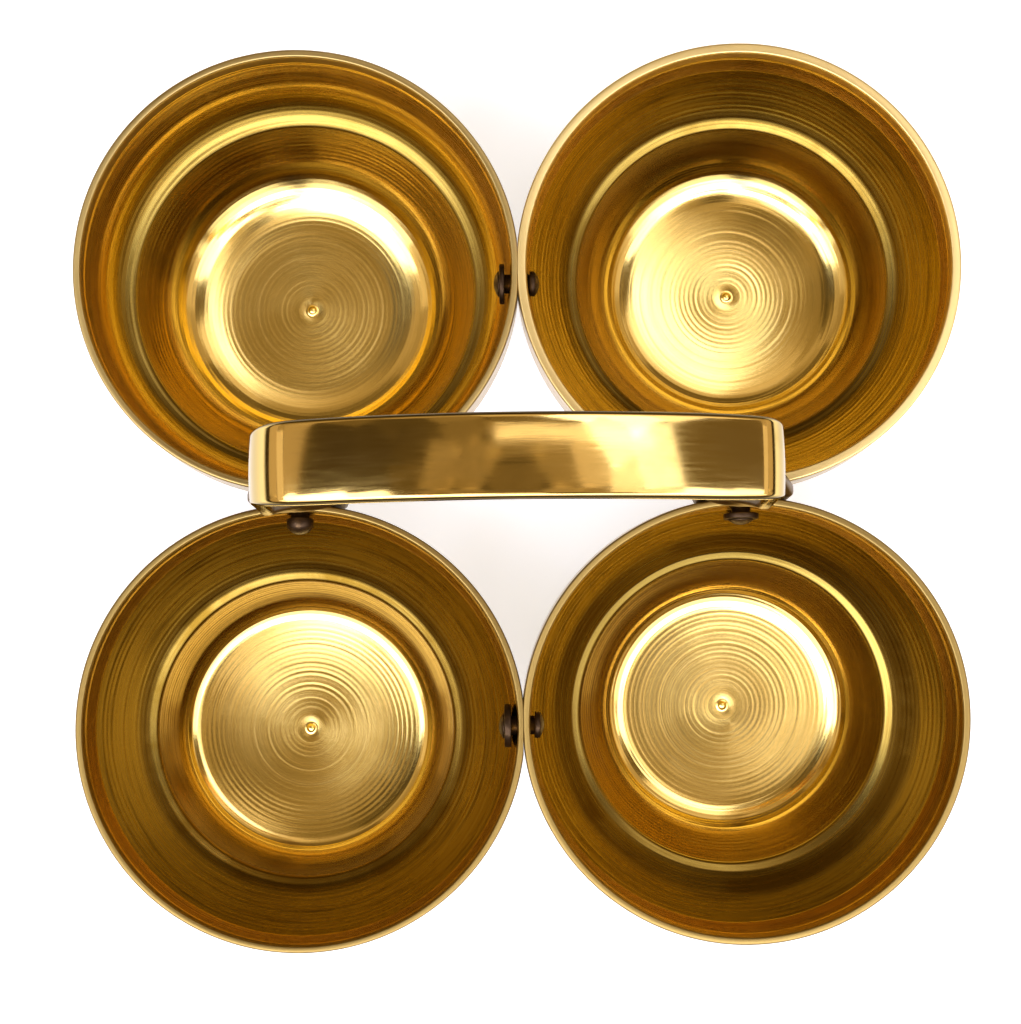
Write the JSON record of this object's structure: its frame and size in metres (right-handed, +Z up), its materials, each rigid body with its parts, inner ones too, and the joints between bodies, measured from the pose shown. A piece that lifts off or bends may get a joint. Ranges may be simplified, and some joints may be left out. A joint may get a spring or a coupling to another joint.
{
  "type": "riveted brass serving caddy",
  "caption": "Open round brass bowls in a square block, riveted rim to rim, with an arched strap handle for carrying powders or condiments.",
  "frame": {"origin": "on the surface the bowls stand on, under the middle of the block", "axes": "+Z up, +X to the right along the handle, +Y to the rear"},
  "size_m": [0.1498, 0.1522, 0.086],
  "materials": {
    "turned_brass": "lathe-turned, lightly tarnished",
    "polished_brass": "polished",
    "copper_rivet": "dark, oxidised"
  },
  "bodies": {
    "root": {"rear_left_bowl": "turned_brass", "rear_right_bowl": "turned_brass", "front_left_bowl": "turned_brass", "front_right_bowl": "turned_brass", "handle": "polished_brass", "rear_rivet": "copper_rivet", "rear_rivet_washer": "copper_rivet", "front_rivet": "copper_rivet", "front_rivet_washer": "copper_rivet", "left_handle_rivet": "copper_rivet", "left_handle_rivet_washer": "copper_rivet", "right_handle_rivet": "copper_rivet", "right_handle_rivet_washer": "copper_rivet"}
  },
  "joints": []
}
